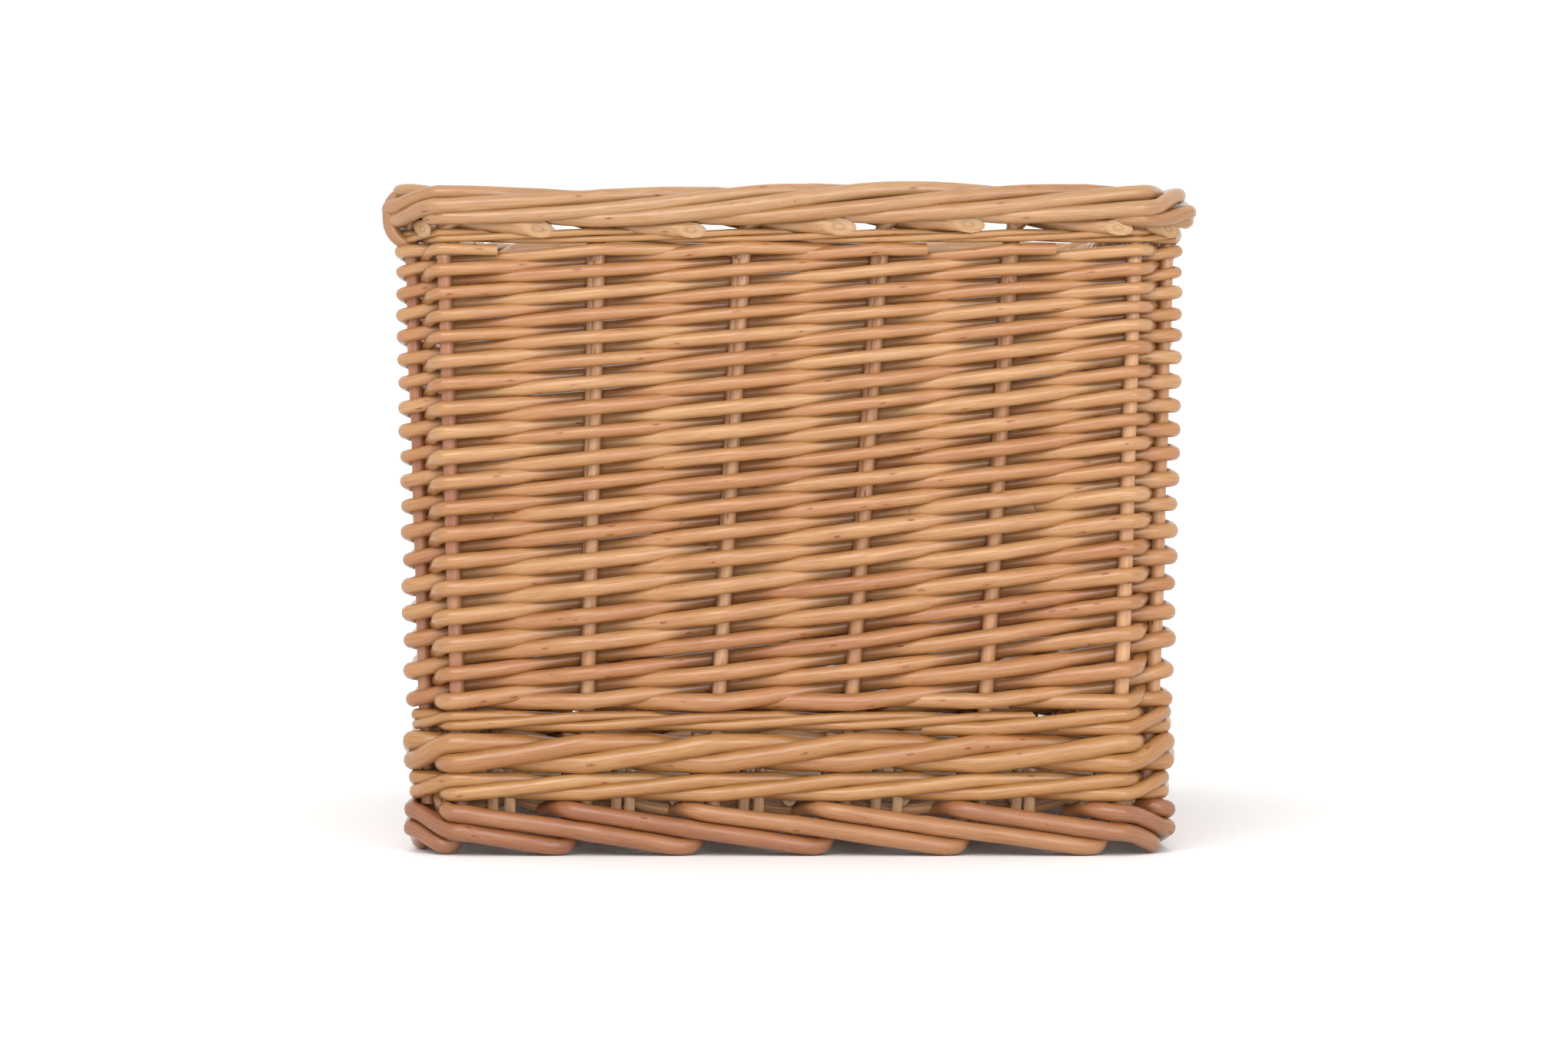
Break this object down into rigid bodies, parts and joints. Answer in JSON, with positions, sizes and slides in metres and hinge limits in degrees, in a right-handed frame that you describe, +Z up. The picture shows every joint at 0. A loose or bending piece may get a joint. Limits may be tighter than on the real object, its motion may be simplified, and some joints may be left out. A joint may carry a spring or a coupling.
{
  "type": "log basket",
  "caption": "Rectangular woven willow log basket, open at the top, with waled foot, randed sides and a thick rod border.",
  "frame": {"origin": "on the floor under the middle of the basket", "axes": "+Z up; X across the short ends; Y along the long sides; the end in view in use faces -Y"},
  "size_m": [0.3996, 0.4996, 0.328],
  "materials": {
    "stake_willow": "satin varnished buff willow rod",
    "rand_willow": "satin varnished buff willow rod",
    "wale_willow": "satin varnished buff willow rod",
    "rim_willow": "satin varnished buff willow rod",
    "foot_willow": "satin varnished willow rod, redder and scuffed",
    "base_willow": "dry willow, matt"
  },
  "bodies": {
    "root": {"front_stake_1": "stake_willow", "front_stake_2": "stake_willow", "front_stake_3": "stake_willow", "front_stake_4": "stake_willow", "front_stake_5": "stake_willow", "front_stake_6": "stake_willow", "right_stake_1": "stake_willow", "right_stake_2": "stake_willow", "right_stake_3": "stake_willow", "right_stake_4": "stake_willow", "right_stake_5": "stake_willow", "right_stake_6": "stake_willow", "right_stake_7": "stake_willow", "right_stake_8": "stake_willow", "back_stake_1": "stake_willow", "back_stake_2": "stake_willow", "back_stake_3": "stake_willow", "back_stake_4": "stake_willow", "back_stake_5": "stake_willow", "back_stake_6": "stake_willow", "left_stake_1": "stake_willow", "left_stake_2": "stake_willow", "left_stake_3": "stake_willow", "left_stake_4": "stake_willow", "left_stake_5": "stake_willow", "left_stake_6": "stake_willow", "left_stake_7": "stake_willow", "left_stake_8": "stake_willow", "base_stick_1": "base_willow", "base_stick_2": "base_willow", "base_stick_3": "base_willow", "base_stick_4": "base_willow", "base_stick_5": "base_willow", "base_stick_6": "base_willow", "base_stick_7": "base_willow", "base_weave": "base_willow", "foot_border": "foot_willow", "low_wale": "wale_willow", "middle_wale": "wale_willow", "high_wale": "wale_willow", "lower_rand": "rand_willow", "upper_rand": "rand_willow", "top_wale": "wale_willow", "rim_border": "rim_willow"}
  },
  "joints": []
}
